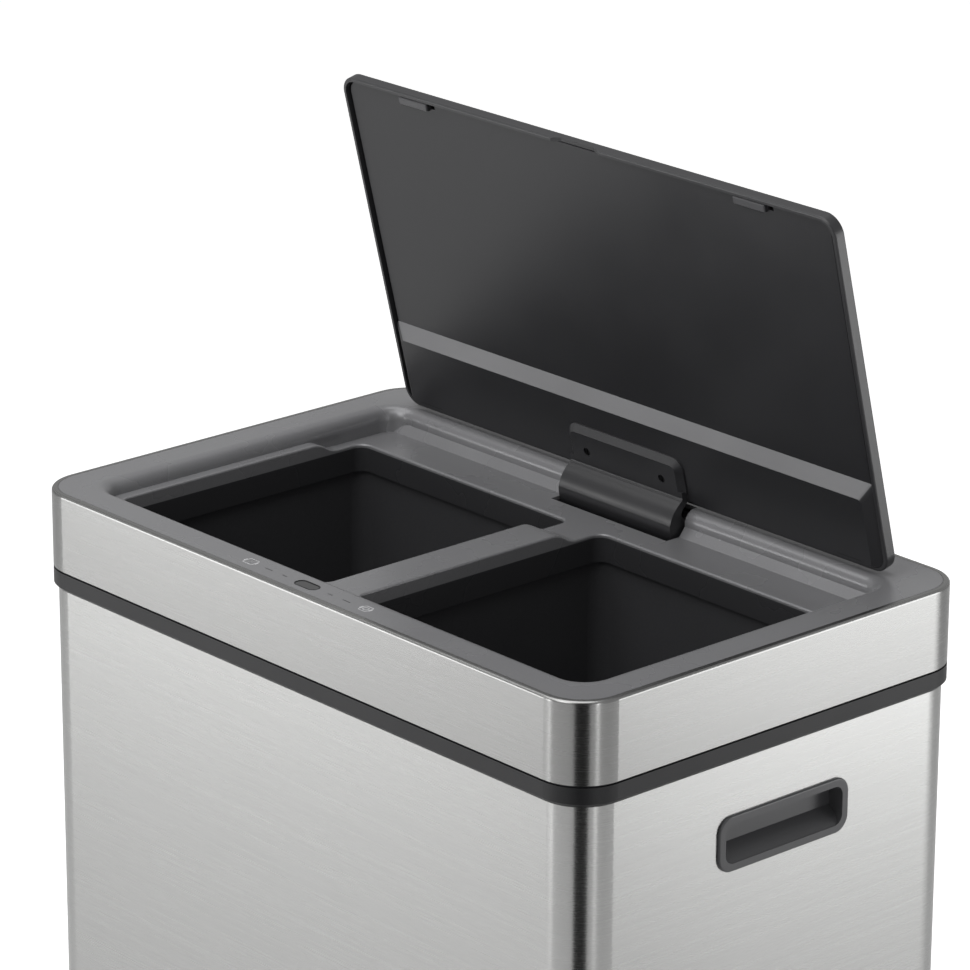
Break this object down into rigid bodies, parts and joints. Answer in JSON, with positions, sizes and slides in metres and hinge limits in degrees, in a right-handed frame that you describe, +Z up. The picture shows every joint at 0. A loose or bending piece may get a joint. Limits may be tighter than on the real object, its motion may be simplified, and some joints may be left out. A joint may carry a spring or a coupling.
{
  "type": "double recycling bin",
  "caption": "Tall steel double waste bin with two lift-out buckets under a lift-off hood and one wide motor-driven lid hinged at the back",
  "frame": {"origin": "centre of the footprint, on the floor", "axes": "+X to the right along the front, -Y to the front, +Y to the back where the lid is hinged, +Z up"},
  "size_m": [0.59, 0.37, 0.913],
  "materials": {
    "brushed_body": "horizontally brushed sheet steel",
    "brushed_hood": "horizontally brushed sheet steel",
    "brushed_lid": "brushed sheet steel panel",
    "rim_plastic": "fine satin texture, metallic grey",
    "band_plastic": "satin dark grey moulding",
    "plinth_plastic": "matt black moulding",
    "foot_rubber": "black rubber pad",
    "handle_plastic": "fine satin dark moulding",
    "bucket_plastic": "glossy black moulding",
    "lid_edge_plastic": "satin dark grey moulding",
    "liner_plastic": "satin dark moulding",
    "bracket_plastic": "satin dark moulding",
    "window_lens": "dark smoked lens",
    "board": "green circuit board",
    "inner_plastic": "black moulding",
    "gear_plastic": "natural acetal",
    "screw_steel": "zinc-plated screws",
    "shaft_steel": "ground steel",
    "motor_steel": "plated motor can",
    "plate_steel": "plated sheet",
    "bush_plastic": "natural acetal",
    "cell_jacket": "plain printed-free cell jacket",
    "contact_metal": "nickel-plated spring contacts",
    "switch_plastic": "glossy black",
    "loom_jacket": "black cable jacket"
  },
  "bodies": {
    "body": {"outer_shell": "brushed_body", "base_tray": "plinth_plastic", "base_feet": "foot_rubber", "base_screws": "screw_steel", "collar_band": "band_plastic", "handle_right": "handle_plastic", "handle_left": "handle_plastic"},
    "bucket_left": {"bucket_left": "bucket_plastic"},
    "bucket_right": {"bucket_right": "bucket_plastic"},
    "hood": {"hood_ring": "brushed_hood", "rim_frame": "rim_plastic", "sensor_window": "window_lens", "control_board": "board", "sensor_cover": "inner_plastic", "sensor_cover_screws": "screw_steel", "drive_cover": "inner_plastic", "cover_screws": "screw_steel", "battery_box": "inner_plastic", "battery_cells": "cell_jacket", "battery_contacts": "contact_metal", "gear_plate": "plate_steel", "plate_screws": "screw_steel", "gear_motor": "motor_steel", "motor_screws": "screw_steel", "idler_axle": "shaft_steel", "hinge_bushes": "bush_plastic", "switch_body": "switch_plastic", "wiring_loom": "loom_jacket"},
    "lid": {"lid_frame": "lid_edge_plastic", "lid_liner": "liner_plastic", "lid_top_panel": "brushed_lid", "hinge_bracket": "bracket_plastic", "bracket_screws": "screw_steel", "hinge_shaft": "shaft_steel", "shaft_clips": "screw_steel", "sector_gear": "gear_plastic"},
    "idler": {"idler_gear": "gear_plastic"},
    "pinion": {"motor_pinion": "gear_plastic"},
    "battery_hatch": {"battery_door": "inner_plastic"},
    "rocker": {"switch_rocker": "switch_plastic"}
  },
  "joints": [
    {"name": "hood_lift", "type": "slide", "parent": "body", "child": "hood", "axis": [0, 0, 1], "range_m": [0, 0.75]},
    {"name": "lid_hinge", "type": "hinge", "parent": "hood", "child": "lid", "pos_m": [0, 0.144, 0.6287], "axis": [1, 0, 0], "range_deg": [0, 76.2]},
    {"name": "idler_turn", "type": "hinge", "parent": "hood", "child": "idler", "pos_m": [0, 0.15586, 0.60006], "axis": [1, 0, 0], "range_deg": [-261.3, 0]},
    {"name": "pinion_turn", "type": "hinge", "parent": "hood", "child": "pinion", "pos_m": [0, 0.13826, 0.60006], "axis": [1, 0, 0], "range_deg": [0, 559.9]},
    {"name": "bucket_left_lift", "type": "slide", "parent": "body", "child": "bucket_left", "axis": [0, 0, 1], "range_m": [0, 0.6]},
    {"name": "bucket_right_lift", "type": "slide", "parent": "body", "child": "bucket_right", "axis": [0, 0, 1], "range_m": [0, 0.6]},
    {"name": "battery_hatch_slide", "type": "slide", "parent": "hood", "child": "battery_hatch", "axis": [-1, 0, 0], "range_m": [0, 0.012]},
    {"name": "rocker_tilt", "type": "hinge", "parent": "hood", "child": "rocker", "pos_m": [0.232, 0.1775, 0.605], "axis": [1, 0, 0], "range_deg": [-24, 0]}
  ],
  "couplings": [
    {"joint": "idler_turn", "follows": "lid_hinge", "ratio": -3.4286},
    {"joint": "pinion_turn", "follows": "lid_hinge", "ratio": 7.3469},
    {"joint": "bucket_left_lift", "follows": "hood_lift", "ratio": 0.8},
    {"joint": "bucket_right_lift", "follows": "hood_lift", "ratio": 0.8}
  ]
}
